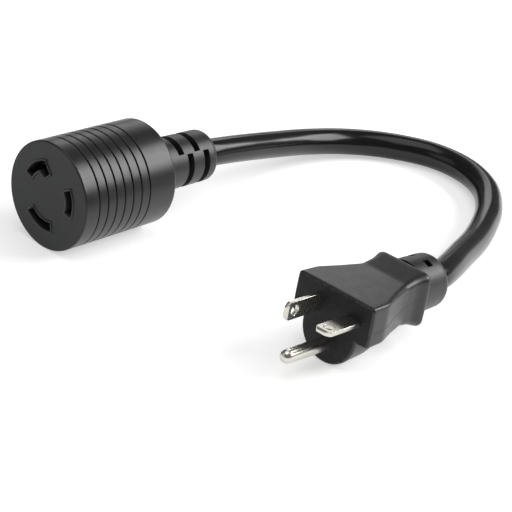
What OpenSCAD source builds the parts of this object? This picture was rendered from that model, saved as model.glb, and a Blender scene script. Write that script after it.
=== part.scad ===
// Short power adapter lead: a 20 A straight-blade plug, a heavy three-core cord and a round
// 20 A locking connector. Both ends are moulded on. The whole lead lies on a level surface at z = 0.

/* [Connector barrel] */
// Diameter of the barrel at its face
conn_d = 38.2; // [37:0.1:40]
// Diameter of the barrel at its rear edge
conn_rear_d = 37.2; // [36.6:0.1:38]
// Length of the barrel
conn_len = 42; // [40:0.5:46]
// Number of grip grooves round the barrel
groove_count = 7; // [0:1:7]
// Distance from the face to the first groove
groove_first = 6.2; // [5:0.1:7]
// Spacing of the grooves along the barrel
groove_pitch = 3.9; // [3:0.1:4]
// Width of one groove
groove_w = 0.7; // [0.4:0.1:1]
// Depth of one groove
groove_depth = 0.5; // [0.2:0.1:0.8]
// Roll of the mould parting line about the barrel's axis, in degrees
parting_roll = 39.5; // [0:0.5:60]

/* [Connector face] */
// Radius of the face block
face_r = 16.9; // [16.5:0.1:17.2]
// Inner radius of the curved contact slots
slot_in_r = 9.3; // [9:0.1:9.6]
// Outer radius of the curved contact slots
slot_out_r = 12.1; // [11.8:0.1:12.4]
// Depth of the face block
block_len = 16; // [15:0.5:18]

/* [Strain reliefs] */
// Outer diameter of both strain reliefs
relief_d = 19; // [18:0.1:20]
// Length of the connector's strain relief
conn_relief_len = 30.8; // [29:0.1:34]
// Length of the plug's strain relief
plug_relief_len = 14.1; // [12:0.1:18]
// Width of the flex slots
relief_slot_w = 2.7; // [1.6:0.1:2.8]
// Droop of the connector's strain relief under the cord, in degrees
neck_droop = 1.1; // [0:0.1:2]

/* [Cord] */
// Outside diameter of the cord
cord_d = 10; // [9.8:0.1:10.2]
// Outside diameter of one insulated wire
wire_d = 3.5; // [3.2:0.1:3.5]
// Diameter of the copper strand bundle in one wire
copper_d = 2.1; // [1.8:0.1:2.1]

/* [Plug] */
// Half of the width of the plug's front face
plug_hw = 16; // [15.5:0.1:16.5]
// Height of the plug's top face above the line of the flat blades
plug_top = 7; // [6.5:0.1:7.5]
// Length of the flat blades
blade_len = 16; // [15:0.1:18]
// Width of the flat blades
blade_w = 6.35; // [6.2:0.05:6.5]
// Thickness of the flat blades
blade_t = 1.5; // [1.4:0.05:1.6]
// Diameter of the ground pin
pin_d = 4.8; // [4.7:0.05:4.9]
// Length of the ground pin
pin_len = 21.1; // [20:0.1:22]
// Distance of the ground pin below the line of the flat blades
pin_drop = 11.9; // [11.7:0.1:12.1]
// Upward tilt of the plug as it lies, in degrees
plug_pitch = 3.3; // [2.8:0.1:3.6]

/* [Hidden] */

// The origin is on the surface, in the middle of the two ends' footprint.
origin_x = 52.05;
origin_y = 37.49;

// Connector: the barrel lies on its own slight taper.
conn_tilt = atan((conn_d - conn_rear_d) / 2 / conn_len);
conn_z = conn_d / 2 * cos(conn_tilt) + 0.007;
conn_pos = [-origin_x, -origin_y, conn_z];
// Mid angle and half span of each contact slot, seen from the face.
ground_a = 130.5; ground_half = 26.5;
neutral_a = 9; neutral_half = 22.5;
hot_a = -104.5; hot_half = 29.5;
slot_mid_r = (slot_in_r + slot_out_r) / 2;
relief_r = relief_d / 2;
cord_bore_r = cord_d / 2 + 0.05;

// Plug: the face centre line of the flat blades, and the way that the blades point.
plug_pos = [107.2 - origin_x, 25.6 - origin_y, 18.85];
plug_yaw = 1.3;
hot_u = -6.35;
neutral_u = 8.75;
cord_w = -0.65;
flange_t = -35.2;
// Radius of the ground pin's shank behind its shoulder.
pin_shank_r = 1.8;

// Route of the cord between the two strain reliefs, from the connector's face.
ROUTE = [
    [0, 80, 17], [-0.8, 94, 14.8], [-2.3, 114, 11], [-2.2, 133, 7.8], [2.2, 150, 5.8],
    [12, 163.5, 5.06], [27, 172.5, 5.06], [43, 173.5, 5.06], [58, 167, 5.06], [70, 154.5, 5.16], [79, 140, 5.8],
    [87, 124.5, 7.5], [94.3, 108, 10.2], [101.2, 92.5, 12.8], [105, 82.5, 14.3]
];

// ---- placing ----
// A point of the connector (right, depth behind the face, up) in the part's frame.
function from_conn(p) = conn_pos + [p[0], p[1] * cos(conn_tilt) + p[2] * sin(conn_tilt),
                                    -p[1] * sin(conn_tilt) + p[2] * cos(conn_tilt)];
// A point of the connector's neck, which droops a little from the barrel's rear.
function from_neck(p) =
    let (a = conn_tilt + neck_droop, y = p[1] - conn_len)
    from_conn([0, conn_len, 0]) + [p[0], y * cos(a) + p[2] * sin(a), -y * sin(a) + p[2] * cos(a)];
// A point of the plug (right, distance out of the face, up) in the part's frame.
function from_plug(p) =
    let (y1 = -p[1] * cos(plug_pitch) + p[2] * sin(plug_pitch),
         z1 = p[1] * sin(plug_pitch) + p[2] * cos(plug_pitch))
    plug_pos + [p[0] * cos(plug_yaw) - y1 * sin(plug_yaw), p[0] * sin(plug_yaw) + y1 * cos(plug_yaw), z1];

module at_conn() { translate(conn_pos) rotate([-conn_tilt, 0, 0]) children(); }
module at_neck() { translate(from_conn([0, conn_len, 0])) rotate([-conn_tilt - neck_droop, 0, 0]) translate([0, -conn_len, 0]) children(); }
// Inside this, x is right, -y is out of the plug's face and z is up.
module at_plug() { translate(plug_pos) rotate([0, 0, plug_yaw]) rotate([-plug_pitch, 0, 0]) children(); }

// An outline in (x, z), extruded from y0 to y1.
module slab(y0, y1) { translate([0, y1, 0]) rotate([90, 0, 0]) linear_extrude(y1 - y0) children(); }
// A ring or disc about the y axis.
module drum(r, y0, y1, fn = 96) { translate([0, y1, 0]) rotate([90, 0, 0]) cylinder(h = y1 - y0, r = r, $fn = fn); }
// A turned solid about the y axis, from [radius, y] points.
module turned(points, fn = 96) { rotate([-90, 0, 0]) rotate_extrude($fn = fn) polygon(points); }

// ---- connector ----
function barrel_r(y) = conn_d / 2 + (conn_rear_d - conn_d) / 2 * y / conn_len;
function groove_profile(k) =
    let (y = groove_first + groove_pitch * k, r = barrel_r(y))
    [[r, y - groove_w / 2], [r - groove_depth, y - groove_w / 4], [r - groove_depth, y + groove_w / 4], [r, y + groove_w / 2]];
barrel_profile = concat(
    [[0, 0], [conn_d / 2 - 0.6, 0], [conn_d / 2 - 0.18, 0.18], [conn_d / 2, 0.6]],
    [for (k = [0 : 1 : groove_count - 1]) for (p = groove_profile(k)) p],
    [[conn_rear_d / 2, conn_len - 0.6], [conn_rear_d / 2 - 0.6, conn_len], [0, conn_len]]
);

module arc_slot(a, half, r0, r1) {
    difference() {
        circle(r = r1, $fn = 96);
        circle(r = r0, $fn = 96);
        rotate(a + half) translate([-30, 0]) square([60, 60]);
        rotate(a - half) translate([-30, -60]) square([60, 60]);
    }
}

module connector_housing() {
    color([0.13, 0.13, 0.13]) at_conn() difference() {
        turned(barrel_profile);
        drum(face_r + 0.03, -1, block_len + 4);
        drum(15.5, block_len + 3, conn_len - 4.5);
        drum(cord_bore_r, conn_len - 5, conn_len + 1);
    }
}

// Half-ring slots that let the neck flex: one pair on each side of the parting line.
module half_ring(y, side) {
    difference() {
        drum(relief_r + 2, y - relief_slot_w / 2, y + relief_slot_w / 2);
        drum(relief_r - 3, y - relief_slot_w, y + relief_slot_w);
        rotate([0, -parting_roll, 0]) translate([-30, y - 10, side > 0 ? -59.7 : 0]) cube([60, 20, 60]);
    }
}

module connector_strain_relief() {
    y0 = conn_len;
    y1 = conn_len + conn_relief_len;
    color([0.14, 0.14, 0.14]) difference() {
        at_neck() difference() {
            turned([[cord_bore_r, y0 - 0.4], [relief_r + 0.1, y0 - 0.4], [relief_r + 0.1, y0 + 4], [relief_r - 0.2, y1 - 2.6], [relief_r - 0.7, y1 - 1.2],
                    [relief_r - 1.7, y1 - 0.3], [relief_r - 2.8, y1], [cord_bore_r, y1]]);
            half_ring(y0 + 12.8, 1);
            half_ring(y0 + 16.7, -1);
            half_ring(y0 + 20.7, 1);
            half_ring(y0 + 24.6, -1);
        }
        at_conn() translate([-20, y0 - 10, -20]) cube([40, 10, 40]);
    }
}

module slot_outlines(grow = 0) {
    arc_slot(ground_a, ground_half, slot_in_r - grow, slot_out_r + grow);
    arc_slot(neutral_a, neutral_half, slot_in_r - grow, slot_out_r + grow);
    arc_slot(hot_a, hot_half, slot_in_r - grow, slot_out_r + grow);
}

module contact_block() {
    color([0.2, 0.2, 0.2]) at_conn() difference() {
        drum(face_r, 0, block_len);
        slab(-1, block_len + 1) slot_outlines();
        // the key leg at the inner end of the ground slot
        slab(-1, 9) polygon([[-3.0, 11.6], [-0.2, 8.0], [-2.4, 6.1], [-5.2, 8.2], [-5.6, 10.7]]);
        // seats for the contacts' base plates
        for (s = [[ground_a, ground_half], [neutral_a, neutral_half], [hot_a, hot_half]])
            slab(block_len - 1.2, block_len + 1) arc_slot(s[0], s[1] + 2, slot_in_r - 1.2, slot_out_r + 1.2);
    }
}

module contact_carrier() {
    color([0.75, 0.73, 0.68]) at_conn() difference() {
        drum(face_r, block_len, block_len + 4);
        for (a = [ground_a, neutral_a, hot_a])
            translate([slot_mid_r * cos(a), 0, slot_mid_r * sin(a)]) drum(2.35, block_len - 1, block_len + 5, 48);
    }
}

// A locking contact: two curved leaves on a base plate, with a crimp barrel behind it.
module locking_contact(a, half) {
    at_conn() {
        difference() {
            union() {
                slab(5.5, block_len - 1) arc_slot(a, half - 1.5, slot_in_r + 0.15, slot_in_r + 0.65);
                slab(5.5, block_len - 1) arc_slot(a, half - 1.5, slot_out_r - 0.65, slot_out_r - 0.15);
                slab(block_len - 1.2, block_len) arc_slot(a, half + 1.5, slot_in_r - 1, slot_out_r + 1);
                translate([slot_mid_r * cos(a), 0, slot_mid_r * sin(a)]) drum(2.3, block_len - 1, block_len + 8.5, 48);
            }
            translate([slot_mid_r * cos(a), 0, slot_mid_r * sin(a)]) drum(1.3, block_len + 0.5, block_len + 9, 48);
        }
    }
}
module connector_ground_contact() { color([0.8, 0.66, 0.36]) locking_contact(ground_a, ground_half); }
module connector_neutral_contact() { color([0.8, 0.66, 0.36]) locking_contact(neutral_a, neutral_half); }
module connector_hot_contact() { color([0.8, 0.66, 0.36]) locking_contact(hot_a, hot_half); }

// ---- cord ----
function unit(v) = v / norm(v);
function tangent(p, i) = unit(i == 0 ? p[1] - p[0] : i == len(p) - 1 ? p[i] - p[i - 1]
                              : unit(p[i + 1] - p[i]) + unit(p[i] - p[i - 1]));
function side_of(p, i) = unit(cross(tangent(p, i), [0, 0, 1]));
function up_of(p, i) = cross(side_of(p, i), tangent(p, i));
function ring(p, i, r, n) = [for (j = [0 : n - 1]) p[i] + r * (cos(360 * j / n) * side_of(p, i) + sin(360 * j / n) * up_of(p, i))];
// Skin of quads between rings, split into triangles; flip turns it inside out.
function skin(m, n, base, flip) = [
    for (i = [0 : m - 2]) for (j = [0 : n - 1])
        let (a = base + i * n + j, b = base + i * n + (j + 1) % n, c = a + n, d = b + n)
        for (t = flip ? [[a, c, b], [b, c, d]] : [[a, b, c], [b, d, c]]) t];

// A solid round sweep along the points p.
module sweep(p, r, n) {
    m = len(p);
    polyhedron(
        points = [for (i = [0 : m - 1]) for (q = ring(p, i, r, n)) q],
        faces = concat(skin(m, n, 0, false), [[for (j = [n - 1 : -1 : 0]) j]], [[for (j = [0 : n - 1]) (m - 1) * n + j]])
    );
}
// A hollow round sweep along the points p.
module hose(p, r, bore, n) {
    m = len(p);
    k = m * n;
    e = (m - 1) * n;
    polyhedron(
        points = concat([for (i = [0 : m - 1]) for (q = ring(p, i, r, n)) q],
                        [for (i = [0 : m - 1]) for (q = ring(p, i, bore, n)) q]),
        faces = concat(
            skin(m, n, 0, false), skin(m, n, k, true),
            [for (j = [0 : n - 1]) for (t = [[j, k + j, (j + 1) % n], [(j + 1) % n, k + j, k + (j + 1) % n]]) t],
            [for (j = [0 : n - 1]) for (t = [[e + j, e + (j + 1) % n, k + e + j], [e + (j + 1) % n, k + e + (j + 1) % n, k + e + j]]) t])
    );
}

function spline(a, b, c, d, t) = 0.5 * (2 * b + (c - a) * t + (2 * a - 5 * b + 4 * c - d) * t * t + (3 * b - a - 3 * c + d) * t * t * t);
conn_end = conn_len + conn_relief_len;
plug_end = flange_t - plug_relief_len;
free = concat([from_neck([0, conn_end - 8, 0]), from_neck([0, conn_end, 0]), from_neck([0, conn_end + 2, 0])],
              [for (q = ROUTE) q - [origin_x, origin_y, 0]],
              [from_plug([0, plug_end - 2, cord_w]), from_plug([0, plug_end, cord_w]), from_plug([0, plug_end + 8, cord_w])]);
free_line = concat([for (i = [1 : len(free) - 3]) for (t = i == 1 || i == len(free) - 3 ? [0] : [0, 0.5]) spline(free[i - 1], free[i], free[i + 1], free[i + 2], t)],
                   [free[len(free) - 2]]);
CORD = concat([from_conn([0, 38.2, 0]), from_conn([0, conn_len, 0])], free_line,
              [from_plug([0, plug_end + 10, cord_w]), from_plug([0, -29, cord_w])]);
last = len(CORD) - 1;

// Each wire lies at its own angle in the cord, and the three twist together along it.
lay_twist = 140;
lay_r = 2.1;
function in_cord(a, i) = CORD[i] + lay_r * (cos(a + lay_twist * i / last) * side_of(CORD, i) + sin(a + lay_twist * i / last) * up_of(CORD, i));
function spot(a, r, y) = from_conn([r * cos(a), y, r * sin(a)]);
function wire_line(a, lay_a, plug_x, plug_z, plug_mid, tip) = concat(
    tip ? [spot(a, slot_mid_r, block_len + 1.5)] : [],
    [spot(a, slot_mid_r, block_len + 9.3), spot(a, slot_mid_r - 1, block_len + 12.5), spot(lay_a, 5.2, block_len + 17.2), spot(lay_a, lay_r, 37)],
    [for (i = [0 : last]) in_cord(lay_a, i)],
    [from_plug([-lay_r * cos(lay_a + lay_twist), -27.6, cord_w + lay_r * sin(lay_a + lay_twist)])],
    plug_mid,
    [from_plug([plug_x, -18.9, plug_z])],
    tip ? [from_plug([plug_x, -11.6, plug_z])] : []);
GROUND_MID = [from_plug([0, -24, -7]), from_plug([0, -20.6, -11])];
NEUTRAL_MID = [from_plug([3.9, -24.4, 0.3]), from_plug([7, -21.2, 0.1])];
HOT_MID = [from_plug([-3.6, -24.5, 0.3]), from_plug([-6, -21, 0.1])];
crimp_neutral_u = 7.6;

module wire(a, lay_a, plug_x, plug_z, plug_mid) {
    hose(wire_line(a, lay_a, plug_x, plug_z, plug_mid, false), wire_d / 2, copper_d / 2 + 0.07, 8);
}
module copper(a, lay_a, plug_x, plug_z, plug_mid) {
    sweep(wire_line(a, lay_a, plug_x, plug_z, plug_mid, true), copper_d / 2, 8);
}

module cord_jacket() { color([0.06, 0.06, 0.06]) hose(CORD, cord_d / 2, 4.05, 12); }
module ground_wire_insulation() { color([0.1, 0.5, 0.2]) wire(ground_a, 130, 0, -pin_drop, GROUND_MID); }
module neutral_wire_insulation() { color([0.9, 0.9, 0.88]) wire(neutral_a, 10, crimp_neutral_u, 0, NEUTRAL_MID); }
module hot_wire_insulation() { color([0.08, 0.08, 0.08]) wire(hot_a, 250, hot_u, 0, HOT_MID); }
module ground_wire_copper() { color([0.75, 0.45, 0.25]) copper(ground_a, 130, 0, -pin_drop, GROUND_MID); }
module neutral_wire_copper() { color([0.75, 0.45, 0.25]) copper(neutral_a, 10, crimp_neutral_u, 0, NEUTRAL_MID); }
module hot_wire_copper() { color([0.75, 0.45, 0.25]) copper(hot_a, 250, hot_u, 0, HOT_MID); }

// ---- plug ----
// One thin cross-section of the shell: half width, top, bottom and corner radius at depth d behind the face.
module section(d, hw, top, bottom, r) {
    translate([0, d, 0]) rotate([90, 0, 0]) linear_extrude(0.02) for (x = [-hw + r, hw - r]) for (z = [bottom + r, top - r])
        translate([x, z]) circle(r = r, $fn = 24);
}
module keel(d, r, z) { translate([0, d, 0]) rotate([90, 0, 0]) linear_extrude(0.02) translate([0, z]) circle(r = r, $fn = 48); }

module blade_outline(u, level, extra = 0) {
    if (level) translate([u - blade_w / 2 - extra, -blade_t / 2 - extra]) square([blade_w + 2 * extra, blade_t + 2 * extra]);
    else translate([u - blade_t / 2 - extra, -blade_w / 2 - extra]) square([blade_t + 2 * extra, blade_w + 2 * extra]);
}

module plug_shell() {
    hull() { section(0.02, plug_hw, plug_top, -7.2, 1.2); section(8, plug_hw - 0.3, plug_top, -7.2, 1.4); }
    hull() { section(8, plug_hw - 0.3, plug_top, -7.2, 1.4); section(15, 13.2, plug_top, -7.3, 1.8); }
    hull() { section(15, 13.2, plug_top, -7.3, 1.8); section(24, 10.3, plug_top, -7.8, 2); }
    hull() { section(24, 10.3, plug_top, -7.8, 2); section(30, 10, 7.9, -8.8, 2); }
    hull() { section(30, 10, 7.9, -8.8, 2); section(34.3, 11.5, 9.1, -10.4, 1.6); section(-flange_t, 11.2, 8.9, -10.2, 1.5); }
    hull() { keel(0.02, 11.1, -7.75); keel(10, 10.6, -7.5); keel(16, 9.5, -7); }
    hull() { keel(16, 9.5, -7); keel(27, 8, -3.8); }
}

module plug_body() {
    color([0.12, 0.12, 0.12]) at_plug() difference() {
        plug_shell();
        slab(-1, 4) { blade_outline(hot_u, false, 0.02); blade_outline(neutral_u, true, 0.02); }
        translate([0, 0, -pin_drop]) drum(pin_shank_r + 0.02, -1, 4, 64);
        slab(2.5, 9.5) { translate([-9.4, -3.6]) square([21.4, 7.6]); translate([-3.4, -15]) square([6.8, 12]); }
        slab(9.1, 19.9) { translate([-9, -3.6]) square([19.2, 7.6]); translate([-2.8, -14.2]) square([5.6, 11.2]); }
        slab(19.8, 22.2) { translate([-8.4, -3.8]) square([17.8, 7.8]); translate([-2.6, -13.8]) square([5.2, 10.6]); }
        slab(22.1, 24.6) { translate([-8.3, -4]) square([16.6, 8]); translate([-2.6, -12.1]) square([5.2, 9]); }
        slab(24.5, 26.6) { translate([-7.2, -4.4]) square([14.4, 8.4]); translate([-2.6, -10]) square([5.2, 6]); }
        slab(26.5, 28.5) { translate([-5.2, -5]) square([10.4, 9]); translate([-2.6, -7.2]) square([5.2, 3]); }
        translate([0, 0, cord_w]) drum(cord_bore_r, 27, 36);
    }
}

// Inner moulding that holds the blades and the pin square to each other.
module plug_bridge() {
    color([0.8, 0.78, 0.72]) at_plug() difference() {
        slab(2.6, 9) { translate([-9.35, -3.55]) square([21.3, 7.5]); translate([-3.35, -14.95]) square([6.7, 11.8]); }
        slab(2, 10) { blade_outline(hot_u, false, 0.02); blade_outline(neutral_u, true, 0.02); }
        translate([0, 0, -pin_drop]) drum(pin_shank_r + 0.02, 2, 10, 64);
    }
}

// A flat blade: chamfered tip, round hole near the tip, tail through the bridge.
module blade_plate() {
    difference() {
        linear_extrude(blade_t, center = true) difference() {
            polygon([[-blade_w / 2, 9.4], [-blade_w / 2, -blade_len + 1.7], [-blade_w / 2 + 1.5, -blade_len],
                     [blade_w / 2 - 1.5, -blade_len], [blade_w / 2, -blade_len + 1.7], [blade_w / 2, 9.4]]);
            translate([0, -11.9]) circle(d = 3.6, $fn = 48);
        }
        // lead-in bevels on both faces of the tip
        for (s = [-1, 1]) translate([0, -blade_len, s * blade_t / 2]) rotate([s * 20, 0, 0]) cube([8, 2.6, 0.56], center = true);
    }
}
module hot_blade() { color([0.72, 0.7, 0.66]) at_plug() translate([hot_u, 0, 0]) rotate([0, 90, 0]) blade_plate(); }
module neutral_blade() { color([0.72, 0.7, 0.66]) at_plug() translate([neutral_u, 0, 0]) blade_plate(); }

module ground_pin() {
    r = pin_d / 2;
    color([0.72, 0.7, 0.66]) at_plug() translate([0, 0, -pin_drop])
        turned([[0, -pin_len], [0.9, -pin_len + 0.12], [1.6, -pin_len + 0.6], [2.1, -pin_len + 1.4], [r, -pin_len + 2.4],
                [r, 0], [pin_shank_r, 0], [pin_shank_r, 9.4], [0, 9.4]], 64);
}

// Crimp barrels behind the bridge: a collar on the blade's tail and a tube round the copper.
module crimp(x, z, r = 2.3, fn = 48) {
    at_plug() translate([x, 0, z]) difference() {
        drum(r, 9.4, 18, fn);
        drum(1.3, 11, 19, fn);
    }
}
module hot_blade_crimp() { color([0.78, 0.64, 0.35]) crimp(hot_u, 0); }
module neutral_blade_crimp() { color([0.78, 0.64, 0.35]) crimp(crimp_neutral_u, 0); }
module ground_pin_crimp() { color([0.78, 0.64, 0.35]) crimp(0, -pin_drop, 2); }

// Slots of the plug's neck: a wide one on the far side and a short window on the near side, above and below.
module plug_strain_relief() {
    d0 = -flange_t;
    d1 = d0 + plug_relief_len;
    color([0.14, 0.14, 0.14]) at_plug() translate([0, 0, cord_w]) difference() {
        turned([[cord_bore_r, d0], [relief_r + 0.2, d0], [relief_r - 0.2, d1 - 2], [relief_r - 0.8, d1 - 0.8],
                [relief_r - 1.7, d1 - 0.2], [relief_r - 2.6, d1], [cord_bore_r, d1]]);
        slab(d0 + 5.8, d0 + 8.2) for (m = [0, 1]) mirror([0, m]) {
            arc_slot(70, 9, relief_r - 3, relief_r + 2);
            arc_slot(121, 14, relief_r - 3, relief_r + 2);
        }
    }
}

connector_housing();
connector_strain_relief();
contact_block();
contact_carrier();
connector_ground_contact();
connector_neutral_contact();
connector_hot_contact();
cord_jacket();
ground_wire_insulation();
neutral_wire_insulation();
hot_wire_insulation();
ground_wire_copper();
neutral_wire_copper();
hot_wire_copper();
plug_body();
plug_strain_relief();
plug_bridge();
hot_blade();
neutral_blade();
ground_pin();
hot_blade_crimp();
neutral_blade_crimp();
ground_pin_crimp();
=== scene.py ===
import math
import bpy
import bmesh
from mathutils import Matrix, Vector


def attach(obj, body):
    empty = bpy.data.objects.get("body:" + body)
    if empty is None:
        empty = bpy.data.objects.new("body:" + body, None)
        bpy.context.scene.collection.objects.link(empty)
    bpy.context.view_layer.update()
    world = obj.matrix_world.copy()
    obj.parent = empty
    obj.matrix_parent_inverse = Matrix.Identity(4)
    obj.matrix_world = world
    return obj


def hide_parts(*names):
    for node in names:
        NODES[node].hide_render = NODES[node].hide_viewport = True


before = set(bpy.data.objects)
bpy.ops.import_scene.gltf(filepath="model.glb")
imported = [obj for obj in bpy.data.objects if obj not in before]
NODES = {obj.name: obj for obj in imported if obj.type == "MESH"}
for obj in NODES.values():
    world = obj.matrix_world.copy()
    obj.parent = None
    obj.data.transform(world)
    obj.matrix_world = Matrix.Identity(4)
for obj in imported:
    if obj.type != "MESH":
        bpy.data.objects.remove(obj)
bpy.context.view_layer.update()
scene = bpy.context.scene
MM = 0.001

# ---------------------------------------------------------------- camera
cam_data = bpy.data.cameras.new("camera")
cam_data.sensor_width = 36.0
cam_data.lens = 2300.0 / 512.0 * 36.0
cam_data.clip_start = 0.01
cam_data.clip_end = 50.0
cam = bpy.data.objects.new("camera", cam_data)
scene.collection.objects.link(cam)
right = Vector((0.71015674, 0.69162023, 0.13167712))
up = Vector((-0.39942197, 0.24176298, 0.88431485))
back = Vector((0.57977539, -0.68059688, 0.44793792))
m = Matrix((right, up, back)).transposed().to_4x4()
m.translation = Vector((0.45159, -0.51795, 0.35529))
cam.matrix_world = m
scene.camera = cam

# ---------------------------------------------------------------- numbers shared with the CAD source
CONN_D, CONN_REAR, CONN_LEN = 38.2, 37.2, 42.0
TILT = math.atan((CONN_D - CONN_REAR) / 2 / CONN_LEN)
DROOP = math.radians(1.1)
ORIGIN_X, ORIGIN_Y = 52.05, 37.49
CONN_POS = Vector((-ORIGIN_X, -ORIGIN_Y, CONN_D / 2 * math.cos(TILT) + 0.007))
NECK_LEN = 30.8
RELIEF_R = 9.5
BORE = 5.05
PLUG_POS = Vector((107.2 - ORIGIN_X, 25.6 - ORIGIN_Y, 18.85))
YAW, PITCH = math.radians(1.3), math.radians(3.3)
FLANGE = 35.2
PLUG_NECK = 14.1
CORD_W = -0.65
HOT_U, NEUTRAL_U, PIN_DROP = -6.35, 8.75, 11.9

M_CONN = Matrix.Translation(CONN_POS) @ Matrix.Rotation(-TILT, 4, "X")
M_NECK = (Matrix.Translation(M_CONN @ Vector((0, CONN_LEN, 0))) @ Matrix.Rotation(-TILT - DROOP, 4, "X")
          @ Matrix.Translation(Vector((0, -CONN_LEN, 0))))
M_PLUG = Matrix.Translation(PLUG_POS) @ Matrix.Rotation(YAW, 4, "Z") @ Matrix.Rotation(-PITCH, 4, "X")


def plug(u, t, w):
    return M_PLUG @ Vector((u, -t, w))


# ---------------------------------------------------------------- materials
def new_mat(name):
    mat = bpy.data.materials.new(name)
    mat.use_nodes = True
    nt = mat.node_tree
    return mat, nt, nt.nodes["Principled BSDF"]


def noise(nt, scale, detail=3.0, rough=0.55, stretch=None):
    tc = nt.nodes.new("ShaderNodeTexCoord")
    n = nt.nodes.new("ShaderNodeTexNoise")
    n.inputs["Scale"].default_value = scale
    n.inputs["Detail"].default_value = detail
    n.inputs["Roughness"].default_value = rough
    if stretch:
        mp = nt.nodes.new("ShaderNodeMapping")
        mp.inputs["Scale"].default_value = stretch
        nt.links.new(tc.outputs["Object"], mp.inputs["Vector"])
        nt.links.new(mp.outputs["Vector"], n.inputs["Vector"])
    else:
        nt.links.new(tc.outputs["Object"], n.inputs["Vector"])
    return n


def ramp(nt, src, stops):
    r = nt.nodes.new("ShaderNodeValToRGB")
    while len(r.color_ramp.elements) < len(stops):
        r.color_ramp.elements.new(0.5)
    for e, (p, c) in zip(r.color_ramp.elements, stops):
        e.position = p
        e.color = (c[0], c[1], c[2], 1) if isinstance(c, (tuple, list)) else (c, c, c, 1)
    nt.links.new(src, r.inputs["Fac"])
    return r


def plastic(name, dark, light, rough=(0.38, 0.5), grain=1800.0, bump=0.12, spec=0.5, fleck=0.0, coat=0.0, stretch=None, bump_mm=0.05):
    """Moulded plastic: mottled colour, uneven gloss and a fine moulded grain."""
    mat, nt, b = new_mat(name)
    n1 = noise(nt, 260.0, 4.0, 0.6, stretch)
    n2 = noise(nt, grain, 2.0, 0.6, stretch)
    mix = nt.nodes.new("ShaderNodeMix")
    mix.data_type = "RGBA"
    mix.blend_type = "MIX"
    c1 = ramp(nt, n1.outputs["Fac"], [(0.3, dark), (0.72, light)])
    c2 = ramp(nt, n2.outputs["Fac"], [(0.35, dark), (0.7, light)])
    mix.inputs["Factor"].default_value = 0.45 + fleck
    nt.links.new(c1.outputs["Color"], mix.inputs["A"])
    nt.links.new(c2.outputs["Color"], mix.inputs["B"])
    nt.links.new(mix.outputs["Result"], b.inputs["Base Color"])
    rr = ramp(nt, n1.outputs["Fac"], [(0.3, rough[0]), (0.7, rough[1])])
    nt.links.new(rr.outputs["Color"], b.inputs["Roughness"])
    bp = nt.nodes.new("ShaderNodeBump")
    bp.inputs["Strength"].default_value = bump
    bp.inputs["Distance"].default_value = bump_mm * MM
    nt.links.new(n2.outputs["Fac"], bp.inputs["Height"])
    nt.links.new(bp.outputs["Normal"], b.inputs["Normal"])
    b.inputs["Specular IOR Level"].default_value = spec
    b.inputs["Coat Weight"].default_value = coat
    b.inputs["Coat Roughness"].default_value = 0.2
    return mat


def metal(name, dark, light, rough=(0.16, 0.3), stretch=(1.0, 1.0, 1.0), scale=900.0, bump=0.08):
    """Plated or bare metal with drawn marks and uneven polish."""
    mat, nt, b = new_mat(name)
    n1 = noise(nt, scale, 4.0, 0.6, stretch)
    n2 = noise(nt, 160.0, 3.0, 0.5)
    c = ramp(nt, n2.outputs["Fac"], [(0.3, dark), (0.7, light)])
    nt.links.new(c.outputs["Color"], b.inputs["Base Color"])
    rr = ramp(nt, n1.outputs["Fac"], [(0.3, rough[0]), (0.75, rough[1])])
    nt.links.new(rr.outputs["Color"], b.inputs["Roughness"])
    b.inputs["Metallic"].default_value = 1.0
    bp = nt.nodes.new("ShaderNodeBump")
    bp.inputs["Strength"].default_value = bump
    bp.inputs["Distance"].default_value = 0.03 * MM
    nt.links.new(n1.outputs["Fac"], bp.inputs["Height"])
    nt.links.new(bp.outputs["Normal"], b.inputs["Normal"])
    return mat


HOUSING = plastic("housing_pvc_satin", (0.005, 0.0053, 0.005), (0.010, 0.0104, 0.0094), (0.30, 0.36), 1500.0, 0.14, 0.5)
PLUG_PVC = plastic("plug_pvc_grained", (0.006, 0.0063, 0.0068), (0.020, 0.0205, 0.021), (0.31, 0.37), 1200.0, 0.6, 0.5, fleck=0.2, bump_mm=0.07)
PLUG_FACE = plastic("plug_face_matt", (0.004, 0.0042, 0.0048), (0.012, 0.0124, 0.0132), (0.55, 0.65), 1000.0, 0.8, 0.32, fleck=0.25, bump_mm=0.09)
RELIEF = plastic("relief_pvc_satin", (0.012, 0.0125, 0.012), (0.024, 0.0245, 0.023), (0.36, 0.44), 1500.0, 0.2, 0.5)
FACE = plastic("face_pvc_flat", (0.011, 0.012, 0.012), (0.019, 0.020, 0.020), (0.48, 0.56), 1700.0, 0.25, 0.4)
CORD_PVC = plastic("cord_pvc_glossy", (0.004, 0.004, 0.004), (0.007, 0.007, 0.006), (0.18, 0.22), 1200.0, 0.03, 0.38)
INSULATOR = plastic("insulator_natural", (0.66, 0.63, 0.56), (0.76, 0.74, 0.68), (0.5, 0.6), 1500.0, 0.2)
GREEN = plastic("wire_green", (0.01, 0.16, 0.04), (0.02, 0.24, 0.07), (0.3, 0.4), 1500.0, 0.1)
WHITE = plastic("wire_white", (0.72, 0.72, 0.69), (0.84, 0.84, 0.81), (0.3, 0.4), 1500.0, 0.1)
BLACK = plastic("wire_black", (0.008, 0.008, 0.008), (0.02, 0.02, 0.02), (0.3, 0.4), 1500.0, 0.1)
NICKEL = metal("nickel_plate", (0.58, 0.56, 0.51), (0.68, 0.66, 0.60), (0.252, 0.264), (1.0, 0.12, 1.0), 500.0, 0.003)
BRASS = metal("brass", (0.72, 0.56, 0.28), (0.86, 0.70, 0.40), (0.22, 0.38))
COPPER = metal("copper", (0.70, 0.34, 0.20), (0.86, 0.47, 0.30), (0.25, 0.4))


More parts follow.
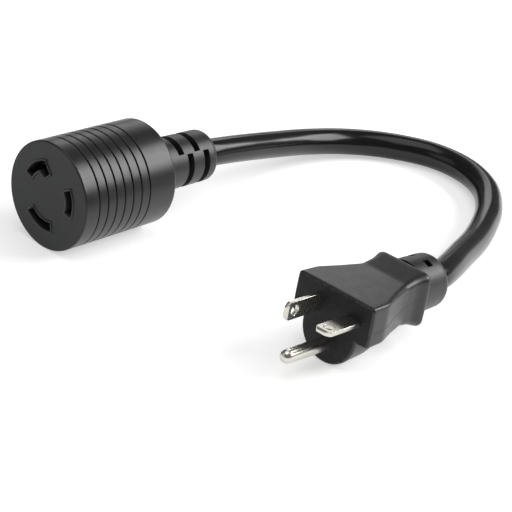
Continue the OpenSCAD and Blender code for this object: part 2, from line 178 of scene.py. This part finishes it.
# ---------------------------------------------------------------- mesh helpers
def finish_mesh(name, bm, mat, matrix, sharp=32.0):
    bmesh.ops.recalc_face_normals(bm, faces=bm.faces)
    me = bpy.data.meshes.new(name)
    for v in bm.verts:
        v.co = (matrix @ v.co) * MM
    bm.to_mesh(me)
    bm.free()
    me.shade_smooth()
    me.set_sharp_from_angle(angle=math.radians(sharp))
    me.materials.append(mat)
    ob = bpy.data.objects.new(name, me)
    scene.collection.objects.link(ob)
    return ob


def stand_for(ob, node):
    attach(ob, "root")
    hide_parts(node)


def lathe(name, profile, mat, matrix, n=160, sharp=32.0):
    """Closed loop of (radius, y) turned about the y axis."""
    bm = bmesh.new()
    rows = []
    held = []
    for (ra, ya), (rb, yb) in zip(profile, profile[1:] + profile[:1]):
        # points close to each end of a long run keep its shading straight
        held.append((ra, ya))
        run = math.hypot(rb - ra, yb - ya)
        if run > 0.9:
            held += [(ra + (rb - ra) * e / run, ya + (yb - ya) * e / run) for e in (0.18, run - 0.18)]
    for r, y in held:
        rows.append([bm.verts.new((r * math.cos(2 * math.pi * j / n), y, r * math.sin(2 * math.pi * j / n))) for j in range(n)])
    k = len(rows)
    for i in range(k):
        a, b = rows[i], rows[(i + 1) % k]
        for j in range(n):
            q = (j + 1) % n
            bm.faces.new((a[j], a[q], b[q], b[j]))
    return finish_mesh(name, bm, mat, matrix, sharp)


def arc(cx, cy, r, a0, a1, n):
    return [(cx + r * math.cos(math.radians(a0 + (a1 - a0) * i / n)), cy + r * math.sin(math.radians(a0 + (a1 - a0) * i / n))) for i in range(n + 1)]


# ---------------------------------------------------------------- cord
def rel(x, y, z):
    return Vector((x - ORIGIN_X, y - ORIGIN_Y, z))


neck_end = CONN_LEN + NECK_LEN
plug_end = -(FLANGE + PLUG_NECK)
ROUTE = [(0, 80, 17), (-0.8, 94, 14.8), (-2.3, 114, 11), (-2.2, 133, 7.8), (2.2, 150, 5.8),
         (12, 163.5, 5.06), (27, 172.5, 5.06), (43, 173.5, 5.06), (58, 167, 5.06), (70, 154.5, 5.16), (79, 140, 5.8),
         (87, 124.5, 7.5), (94.3, 108, 10.2), (101.2, 92.5, 12.8), (105, 82.5, 14.3)]
free = ([M_NECK @ Vector((0, neck_end - 8, 0)), M_NECK @ Vector((0, neck_end, 0)), M_NECK @ Vector((0, neck_end + 2, 0))]
        + [rel(*p) for p in ROUTE]
        + [plug(0, plug_end - 2, CORD_W), plug(0, plug_end, CORD_W), plug(0, plug_end + 8, CORD_W)])
cu = bpy.data.curves.new("cord", "CURVE")
cu.dimensions = "3D"
cu.bevel_depth = 5.0 * MM
cu.bevel_resolution = 10
cu.resolution_u = 14
cu.use_fill_caps = True
sp = cu.splines.new("BEZIER")
sp.bezier_points.add(len(free) - 1)
for i, p in enumerate(free):
    bp = sp.bezier_points[i]
    bp.handle_left_type = bp.handle_right_type = "FREE"
    a = free[max(i - 1, 0)]
    c = free[min(i + 1, len(free) - 1)]
    t = (c - a) / 2 if 0 < i < len(free) - 1 else (c - a)
    # handles reach a third of the way
    bp.co = p * MM
    bp.handle_left = (p - t / 3) * MM
    bp.handle_right = (p + t / 3) * MM
    if i == 0:
        bp.handle_left = (p - t / 3) * MM
cord = bpy.data.objects.new("cord", cu)
scene.collection.objects.link(cord)
cu.materials.append(CORD_PVC)
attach(cord, "root")
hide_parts("cord_jacket")

# ---------------------------------------------------------------- connector barrel
FACE_R = 16.9


def barrel_r(y):
    return CONN_D / 2 + (CONN_REAR - CONN_D) / 2 * y / CONN_LEN


prof = [(FACE_R, 0.0)]
prof += [(CONN_D / 2 - 0.5, 0.0)] + [(CONN_D / 2 - 0.5 + 0.5 * x, 0.5 - 0.5 * y) for x, y in [(0.38, 0.925), (0.707, 0.707), (0.925, 0.38)]] + [(CONN_D / 2 - 0.005, 0.5)]
for k in range(7):
    y = 6.2 + 3.9 * k
    r = barrel_r(y)
    lead = [(0.4, 0.0), (0.34, -0.02), (0.27, -0.08), (0.22, -0.2), (0.18, -0.5), (0.0, -0.55)]
    prof += [(r + d, y - o) for o, d in lead]
    prof += [(r + d, y + o) for o, d in reversed(lead[:-1])]
prof += [(CONN_REAR / 2 + 0.005, CONN_LEN - 0.8)]
prof += [(CONN_REAR / 2 - 0.8 + 0.8 * math.cos(a), CONN_LEN - 0.8 + 0.8 * math.sin(a)) for a in (0.4, 0.8, 1.2)] + [(CONN_REAR / 2 - 0.8, CONN_LEN)]
prof += [(12.0, CONN_LEN), (BORE, CONN_LEN), (BORE, CONN_LEN - 4.5), (15.5, CONN_LEN - 4.5), (15.5, 20.0), (FACE_R + 0.03, 20.0), (FACE_R + 0.03, 1.0)]
housing = lathe("barrel", prof, HOUSING, M_CONN, 224, 40)
housing.data.materials.append(FACE)
INV = M_CONN.inverted()
for poly in housing.data.polygons:
    if (INV @ (poly.center / MM)).y < 0.12:
        poly.material_index = 1


def add_seam(ob, matrix, path, width, height):
    """A thin raised mould seam; path is a list of (point, outward) in the piece's own frame."""
    bm = bmesh.new()
    bm.from_mesh(ob.data)
    rows = []
    for i, (p, n) in enumerate(path):
        p, n = Vector(p), Vector(n).normalized()
        t = (Vector(path[min(i + 1, len(path) - 1)][0]) - Vector(path[max(i - 1, 0)][0])).normalized()
        side = n.cross(t).normalized()
        h = height if 0 < i < len(path) - 1 else -0.1
        prof2 = [p - side * width / 2 - n * 0.15, p - side * width / 4 + n * h, p + side * width / 4 + n * h, p + side * width / 2 - n * 0.15]
        rows.append([bm.verts.new((matrix @ q) * MM) for q in prof2])
    for a, b in zip(rows[:-1], rows[1:]):
        for j in range(4):
            q = (j + 1) % 4
            bm.faces.new((a[j], a[q], b[q], b[j]))
    bm.faces.new(rows[0])
    bm.faces.new(list(reversed(rows[-1])))
    bmesh.ops.recalc_face_normals(bm, faces=bm.faces)
    bm.to_mesh(ob.data)
    bm.free()
    ob.data.set_sharp_from_angle(angle=math.radians(40))


for side_a in (39.5, 219.5):
    ca, sa = math.cos(math.radians(side_a)), math.sin(math.radians(side_a))
    for ya, yb in ((0.5, 5.5), (30.3, 41.0)):
        add_seam(housing, M_CONN, [((barrel_r(y) * ca, y, barrel_r(y) * sa), (ca, 0, sa)) for y in [ya + (yb - ya) * i / 6 for i in range(7)]], 0.28, 0.07)
stand_for(housing, "connector_housing")


# ---------------------------------------------------------------- strain reliefs with real slots
def slotted_neck(name, rings, inner, slots, matrix, n, mat, half_roll=0.0):
    """Tube about y: rings are (y, r) of the outside; slots are (y0, y1, a0, a1) in degrees, cut down to radius inner."""
    eps = 0.035
    ys = set(y for y, _ in rings)
    for y0, y1, _, _ in slots:
        for e in (y0, y1):
            ys.update((e - eps, e + eps))
    y_lo, y_hi = rings[0][0], rings[-1][0]
    ys = sorted(y for y in ys if y_lo <= y <= y_hi)
    fine = []
    for a, b in zip(ys[:-1], ys[1:]):
        c = max(1, int(math.ceil((b - a) / 1.2)))
        fine += [a + (b - a) * i / c for i in range(c)]
    fine.append(ys[-1])
    ths = set(round(360.0 * j / n, 4) for j in range(n))
    for _, _, a0, a1 in slots:
        for a in (a0, a1):
            ths.update((round((a - 0.22) % 360, 4), round((a + 0.22) % 360, 4)))
    ths = sorted(ths)

    def outer(y):
        for (ya, ra), (yb, rb) in zip(rings[:-1], rings[1:]):
            if y <= yb + 1e-9:
                return ra if yb - ya < 1e-9 else ra + (rb - ra) * (y - ya) / (yb - ya)
        return rings[-1][1]

    def cut(y, th):
        for y0, y1, a0, a1 in slots:
            if y0 < y < y1 and 0 < (th - a0) % 360 < (a1 - a0):
                return True
        return False

    bm = bmesh.new()
    rows = []
    for y in fine:
        rows.append([(inner if cut(y, th) else outer(y), y, th) for th in ths])
    tail = [(BORE, y_hi), (BORE, (y_lo + y_hi) / 2), (BORE, y_lo)]
    for r, y in tail:
        rows.append([(r, y, th) for th in ths])
    vs = [[bm.verts.new((r * math.cos(math.radians(th)), y, r * math.sin(math.radians(th)))) for r, y, th in row] for row in rows]
    k, w = len(vs), len(ths)
    for i in range(k):
        a, b = vs[i], vs[(i + 1) % k]
        for j in range(w):
            q = (j + 1) % w
            bm.faces.new((a[j], a[q], b[q], b[j]))
    return finish_mesh(name, bm, mat, matrix, 38)


def round_end(r0, y_end, rr, rise):
    """Outside points of a rounded end: radius r0 falling by rr over rise."""
    return [(y_end - rise * (1 - math.sin(math.radians(a))), r0 - rr * (1 - math.cos(math.radians(a)))) for a in (15, 30, 45, 60, 75, 90)]


roll = 39.5
y0, y1 = CONN_LEN, neck_end
rings = [(y0, RELIEF_R + 0.1), (y0 + 4, RELIEF_R + 0.1), (y1 - 2.6, RELIEF_R - 0.2)] + round_end(RELIEF_R - 0.2, y1, 2.6, 2.4)
hr = 1.35
slots = [(y0 + 12.8 - hr, y0 + 12.8 + hr, roll + 1.8, roll + 180 - 1.8), (y0 + 16.7 - hr, y0 + 16.7 + hr, roll + 180, roll + 360),
         (y0 + 20.7 - hr, y0 + 20.7 + hr, roll + 1.8, roll + 180 - 1.8), (y0 + 24.6 - hr, y0 + 24.6 + hr, roll + 180, roll + 360)]
neck = slotted_neck("connector_neck", rings, RELIEF_R - 3, slots, M_NECK, 180, RELIEF)
stand_for(neck, "connector_strain_relief")

d0, d1 = FLANGE - 0.05, FLANGE + PLUG_NECK
rings = [(d0, RELIEF_R + 0.2), (d1 - 2.2, RELIEF_R - 0.2)] + round_end(RELIEF_R - 0.2, d1, 2.6, 2.2)
w0, w1 = FLANGE + 5.8, FLANGE + 8.3
slots = [(w0, w1, a - h, a + h) for a, h in ((70, 9), (121, 14), (-70, 9), (-121, 14))]
pneck = slotted_neck("plug_neck", rings, RELIEF_R - 3, slots, M_PLUG @ Matrix.Translation(Vector((0, 0, CORD_W))), 180, RELIEF)
stand_for(pneck, "plug_strain_relief")


# ---------------------------------------------------------------- flat outlines with real holes
def extruded(name, loops, y0, y1, bevel, matrix, mat, to3=lambda x, z, y: (x, y, z), extra=None, res=3):
    """Outlines (first is the outside) extruded from y0 to y1, with rounded edges."""
    c2 = bpy.data.curves.new(name + "_outline", "CURVE")
    c2.dimensions = "2D"
    c2.fill_mode = "BOTH"
    c2.extrude = abs(y1 - y0) / 2 - bevel
    c2.bevel_depth = bevel
    c2.bevel_resolution = res
    c2.offset = -bevel
    for loop in loops:
        s = c2.splines.new("POLY")
        s.points.add(len(loop) - 1)
        for i, (x, z) in enumerate(loop):
            s.points[i].co = (x, z, 0, 1)
        s.use_cyclic_u = True
    tmp = bpy.data.objects.new(name + "_tmp", c2)
    scene.collection.objects.link(tmp)
    dg = bpy.context.evaluated_depsgraph_get()
    me = bpy.data.meshes.new_from_object(tmp.evaluated_get(dg))
    bm = bmesh.new()
    bm.from_mesh(me)
    bpy.data.objects.remove(tmp)
    bpy.data.curves.remove(c2)
    bpy.data.meshes.remove(me)
    bmesh.ops.remove_doubles(bm, verts=bm.verts, dist=1e-4)
    mid = (y0 + y1) / 2
    for v in bm.verts:
        x, z, h = v.co
        v.co = to3(x, z, mid + h)
    if extra:
        extra(bm)
    return finish_mesh(name, bm, mat, matrix, 30)


def slot_loop(a, half, r0, r1, grow=0.0, n=22):
    a0, a1 = math.radians(a - half), math.radians(a + half)
    g0, g1 = grow / r0, grow / r1
    out = [((r1 + grow) * math.cos(t), (r1 + grow) * math.sin(t)) for t in [a0 - g1 + (a1 - a0 + 2 * g1) * i / n for i in range(n + 1)]]
    out += [((r0 - grow) * math.cos(t), (r0 - grow) * math.sin(t)) for t in [a1 + g0 - (a1 - a0 + 2 * g0) * i / n for i in range(n + 1)]]
    return out


outer = [(FACE_R * math.cos(2 * math.pi * i / 192), FACE_R * math.sin(2 * math.pi * i / 192)) for i in range(192)]
SL, SU = 9.3, 12.1
neutral = slot_loop(9, 22.5, SL, SU)
hot = slot_loop(-104.5, 29.5, SL, SU)


def key_union():
    """Outline of the arc slot joined with its key leg, walked once round."""
    a0 = math.radians(104.0)
    pts = [(SU * math.cos(t), SU * math.sin(t)) for t in [a0 + math.radians(53.0) * i / 24 for i in range(25)]]
    inner = [(SL * math.cos(t), SL * math.sin(t)) for t in [math.radians(157.0) - math.radians(30.0) * i / 14 for i in range(15)]]
    # leg: left side down, tip, right side up to the clockwise end of the arc
    return pts + inner + [(-5.2, 8.2 - 0.6), (-2.4, 6.1), (-0.2, 8.0), (-2.35, 10.6)]


ground = key_union()


def grown(loop, g):
    """Outline moved outwards by g."""
    n = len(loop)
    area = sum(loop[i][0] * loop[(i + 1) % n][1] - loop[(i + 1) % n][0] * loop[i][1] for i in range(n))
    s = 1.0 if area > 0 else -1.0
    out = []
    for i in range(n):
        p, q, r = Vector(loop[i - 1]), Vector(loop[i]), Vector(loop[(i + 1) % n])
        e1, e2 = (q - p), (r - q)
        n1 = Vector((e1.y, -e1.x)).normalized() * s
        n2 = Vector((e2.y, -e2.x)).normalized() * s
        k = n1 + n2
        k = k / max(k.length_squared / 2, 0.6)
        out.append((q.x + k.x * g, q.y + k.y * g))
    return out


block = extruded("face_block", [outer, ground, neutral, hot], 0.0, 16.0, 0.02, M_CONN, FACE, res=1)
block.data.materials.append(HOUSING)
# a low moulded lip round each slot
bm = bmesh.new()
bm.from_mesh(block.data)
for loop in (ground, neutral, hot):
    rows = []
    for k in range(9):
        t = math.pi * k / 8
        lp, y = grown(loop, 0.05 + 0.36 * (1 - math.cos(t))), 0.04 - 0.4 * math.sin(t)
        rows.append([bm.verts.new((M_CONN @ Vector((x, y, z))) * MM) for x, z in lp])
    for a, b in zip(rows[:-1], rows[1:]):
        for j in range(len(a)):
            q = (j + 1) % len(a)
            bm.faces.new((a[j], a[q], b[q], b[j])).material_index = 1
bmesh.ops.recalc_face_normals(bm, faces=bm.faces)
bm.to_mesh(block.data)
bm.free()
block.data.shade_smooth()
block.data.set_sharp_from_angle(angle=math.radians(30))
FORWARD = (M_CONN.to_3x3() @ Vector((0, 1, 0))).normalized()
for poly in block.data.polygons:
    if abs(poly.normal.dot(FORWARD)) > 0.9995:
        poly.use_smooth = False
stand_for(block, "contact_block")

# ---------------------------------------------------------------- plug shell
SECT = [(0, 16, 7, -7.2, 1.2), (8, 15.7, 7, -7.2, 1.4), (15, 13.2, 7, -7.3, 1.8), (24, 10.3, 7, -7.8, 2), (29.5, 10.1, 8.1, -8.8, 2.3),
        (34.3, 11.5, 9.1, -10.4, 2.9), (35.2, 11.5, 9.1, -10.4, 2.9)]
KEEL = [(0, 11.1, -7.75), (10, 10.6, -7.5), (16, 9.5, -7.0), (26, 8.1, -4.1), (30.5, 7.4, -2.2), (35.2, 6.0, -1.0)]


def interp(table, d):
    for a, b in zip(table[:-1], table[1:]):
        if d <= b[0]:
            f = (d - a[0]) / (b[0] - a[0])
            return [p + (q - p) * f for p, q in zip(a[1:], b[1:])]
    return list(table[-1][1:])


def soft(table, d, w):
    """The table's value averaged over a short window, so that the surface flows."""
    ks = [-1.0, -0.66, -0.33, 0.0, 0.33, 0.66, 1.0]
    g = [0.3, 0.7, 1.0, 1.15, 1.0, 0.7, 0.3]
    w = min(w, d, FLANGE - d) if 0 < d < FLANGE else 0.0
    vals = [interp(table, d + k * w) for k in ks]
    return [sum(v[i] * gg for v, gg in zip(vals, g)) / sum(g) for i in range(len(vals[0]))]


def outline(d, inset=0.0):
    """One cross-section, walked round from the top right corner, always with the same number of points."""
    hw, top, bot, r = soft(SECT, d, 1.6 if d < 20 else (1.0 if d < 27 else 2.0))
    kr, kz = soft(KEEL, d, 2.0)
    hw, top, bot = hw - inset, top - inset, bot + inset
    kr = kr - inset
    r = max(r - inset * 0.4, 0.5)
    pts = []
    n_top, n_side, n_corner, n_bot, n_keel = 30, 14, 8, 10, 56
    crown = 0.12
    for i in range(n_top + 1):
        x = -(hw - r) + 2 * (hw - r) * i / n_top
        pts.append((x, top + crown * (1 - (x / hw) ** 2) - crown * 0.2))
    pts += arc(hw - r, top - r, r, 90, 0, n_corner)[1:]
    za, zb = top - r, bot + r
    pts += [(hw + 0.1 * math.sin(math.pi * i / n_side), za + (zb - za) * i / n_side) for i in range(1, n_side)]
    pts += arc(hw - r, zb, r, 0, -90, n_corner)
    h2 = kr * kr - (bot - kz) ** 2
    h = math.sqrt(h2) if h2 > 0.09 and kz - kr < bot - 0.02 else 0.3
    h = min(h, hw - r - 0.05)
    pts += [((hw - r) + (h - (hw - r)) * i / n_bot, bot) for i in range(1, n_bot)]
    if h > 0.31:
        a0 = math.degrees(math.atan2(bot - kz, h))
        a1 = -180 - a0
        pts += [(kr * math.cos(math.radians(a0 + (a1 - a0) * i / n_keel)), kz + kr * math.sin(math.radians(a0 + (a1 - a0) * i / n_keel))) for i in range(n_keel + 1)]
        # a wide arc's ends meet the flat exactly
    else:
        pts += [(h - 2 * h * i / n_keel, bot) for i in range(n_keel + 1)]
    pts += [(-h + (-(hw - r) + h) * i / n_bot, bot) for i in range(1, n_bot)]
    pts += arc(-(hw - r), zb, r, -90, -180, n_corner)
    pts += [(-hw - 0.1 * math.sin(math.pi * i / n_side), zb + (za - zb) * i / n_side) for i in range(1, n_side)]
    pts += arc(-(hw - r), top - r, r, 180, 90, n_corner)[:-1]
    return pts


bm = bmesh.new()
depths = [(0.0, 0.75), (0.04, 0.5), (0.16, 0.28), (0.36, 0.1), (0.7, 0.0)]
d = 1.4
while d < 33.4:
    depths.append((d, 0.0))
    d += 0.6
depths += [(33.7, 0.05), (34.15, 0.2), (34.55, 0.45), (34.85, 0.78), (35.05, 1.15), (35.2, 1.7)]
rows = [[bm.verts.new((x, dd, z)) for x, z in outline(dd, ins)] for dd, ins in depths]
for a, b in zip(rows[:-1], rows[1:]):
    for j in range(len(a)):
        q = (j + 1) % len(a)
        bm.faces.new((a[j], a[q], b[q], b[j]))
# front and rear faces
for row in (rows[0], rows[-1]):
    es = [bm.edges.get((row[j], row[(j + 1) % len(row)])) for j in range(len(row))]
    bmesh.ops.triangle_fill(bm, use_beauty=True, use_dissolve=False, edges=[e for e in es if e])
shell = finish_mesh("plug_shell", bm, PLUG_PVC, M_PLUG, 34)
shell.data.materials.append(PLUG_FACE)
INV = M_PLUG.inverted()
for poly in shell.data.polygons:
    if (INV @ (poly.center / MM)).y < 0.02:
        poly.material_index = 1
for sgn in (1, -1):
    line = []
    for i in range(24):
        dd = 1.0 + 33.0 * i / 23
        w_ = -2.3 + 2.3 * dd / 27
        line.append(((sgn * (soft(SECT, dd, 1.6 if dd < 20 else 2.2)[0] + 0.08), dd, w_), (sgn, 0, 0)))
    add_seam(shell, M_PLUG, line, 0.3, 0.08)
stand_for(shell, "plug_body")

# ---------------------------------------------------------------- blades and pin
BW, BT, BL = 6.35, 1.5, 16.0
blade_loop = ([(-BW / 2, 9.4), (-BW / 2, -BL + 1.7)] + [(-BW / 2 + 1.5, -BL)] + [(BW / 2 - 1.5, -BL), (BW / 2, -BL + 1.7), (BW / 2, 9.4)])
hole = [(1.8 * math.cos(2 * math.pi * i / 48), -11.9 + 1.8 * math.sin(2 * math.pi * i / 48)) for i in range(48)]


def thin_tip(bm):
    """Lead-in: the plate thins over the last 1.1 mm to its tip."""
    bmesh.ops.bisect_plane(bm, geom=bm.verts[:] + bm.edges[:] + bm.faces[:], plane_co=(0, -BL + 1.1, 0), plane_no=(0, 1, 0))
    for v in bm.verts:
        if v.co.y < -BL + 1.1:
            f = (-BL + 1.1 - v.co.y) / 1.1
            v.co.z *= 1 - 0.32 * f


def flat_sides(ob, axis, limit):
    """Faces that look along the axis are plane, so they take no shading from the rounded edges."""
    for poly in ob.data.polygons:
        if abs(poly.normal.dot(axis)) > limit:
            poly.use_smooth = False


hot_b = extruded("hot_blade_plate", [blade_loop, hole], -BT / 2, BT / 2, 0.16,
                 M_PLUG @ Matrix.Translation(Vector((HOT_U, 0, 0))) @ Matrix.Rotation(math.radians(90), 4, "Y"), NICKEL,
                 to3=lambda x, y, h: (x, y, h), extra=thin_tip)
flat_sides(hot_b, (M_PLUG.to_3x3() @ Vector((1, 0, 0))).normalized(), 0.965)
stand_for(hot_b, "hot_blade")
neu_b = extruded("neutral_blade_plate", [blade_loop, hole], -BT / 2, BT / 2, 0.16,
                 M_PLUG @ Matrix.Translation(Vector((NEUTRAL_U, 0, 0))), NICKEL,
                 to3=lambda x, y, h: (x, y, h), extra=thin_tip)
flat_sides(neu_b, (M_PLUG.to_3x3() @ Vector((0, 0, 1))).normalized(), 0.965)
stand_for(neu_b, "neutral_blade")
R = 2.4
pin_prof = [(0.01, -21.1), (0.45, -21.07), (0.9, -20.98), (1.3, -20.8), (1.65, -20.5), (1.95, -20.08), (2.18, -19.55), (2.33, -18.95), (2.39, -18.4), (R, -17.8),
            (R, -12.0), (R, -6.0), (R, 0.0), (1.8, 0.0), (1.8, 9.4), (0.01, 9.4)]
pin = lathe("ground_pin_round", pin_prof, NICKEL, M_PLUG @ Matrix.Translation(Vector((0, 0, -PIN_DROP))), 96, 40)
stand_for(pin, "ground_pin")

# ---------------------------------------------------------------- inner CAD nodes keep their shape
for names, mat in ((["contact_carrier", "plug_bridge"], INSULATOR),
                   (["connector_ground_contact", "connector_neutral_contact", "connector_hot_contact",
                     "hot_blade_crimp", "neutral_blade_crimp", "ground_pin_crimp"], BRASS),
                   (["ground_wire_insulation"], GREEN), (["neutral_wire_insulation"], WHITE), (["hot_wire_insulation"], BLACK),
                   (["ground_wire_copper", "neutral_wire_copper", "hot_wire_copper"], COPPER)):
    for n in names:
        o = NODES[n]
        if len(o.material_slots) == 0:
            o.data.materials.append(mat)
        for s in o.material_slots:
            s.material = mat

# ---------------------------------------------------------------- floor and light
fl = bpy.data.meshes.new("floor")
bm = bmesh.new()
bmesh.ops.create_grid(bm, x_segments=1, y_segments=1, size=4.0)
bm.to_mesh(fl)
bm.free()
floor = bpy.data.objects.new("floor", fl)
scene.collection.objects.link(floor)
fmat, nt, b = new_mat("floor_white")
b.inputs["Base Color"].default_value = (0.8, 0.8, 0.8, 1)
b.inputs["Emission Color"].default_value = (1, 1, 1, 1)
b.inputs["Emission Strength"].default_value = 0.5
b.inputs["Roughness"].default_value = 0.9
b.inputs["Specular IOR Level"].default_value = 0.1
fl.materials.append(fmat)


def area(name, loc, target, size, power, size_y=None):
    ld = bpy.data.lights.new(name, "AREA")
    ld.shape = "RECTANGLE"
    ld.size = size
    ld.size_y = size_y or size
    ld.energy = power
    lo = bpy.data.objects.new(name, ld)
    scene.collection.objects.link(lo)
    lo.location = loc
    lo.rotation_euler = (Vector(target) - Vector(loc)).to_track_quat("-Z", "Y").to_euler()
    return lo


area("back_right_softbox", (0.72, 1.07, 0.86), (0, 0.03, 0.02), 1.15, 22.0, 0.85)
area("top_softbox", (0.0, -0.1, 1.5), (0, 0.04, 0), 1.3, 8.0, 1.3)
area("back_left_softbox", (-1.0, 1.11, 0.6), (0, 0.03, 0.02), 0.6, 1.7, 0.55)
area("front_fill", (-0.7, -1.3, 0.8), (0, 0, 0), 1.2, 2.0, 0.9)
world = bpy.data.worlds.new("studio")
scene.world = world
world.use_nodes = True
world.node_tree.nodes["Background"].inputs["Color"].default_value = (1, 1, 1, 1)
path = world.node_tree.nodes.new("ShaderNodeLightPath")
seen = world.node_tree.nodes.new("ShaderNodeMath")
seen.operation = "MULTIPLY_ADD"
seen.inputs[1].default_value = 0.76
seen.inputs[2].default_value = 0.16
world.node_tree.links.new(path.outputs["Is Camera Ray"], seen.inputs[0])
world.node_tree.links.new(seen.outputs["Value"], world.node_tree.nodes["Background"].inputs["Strength"])
scene.view_settings.view_transform = "Standard"
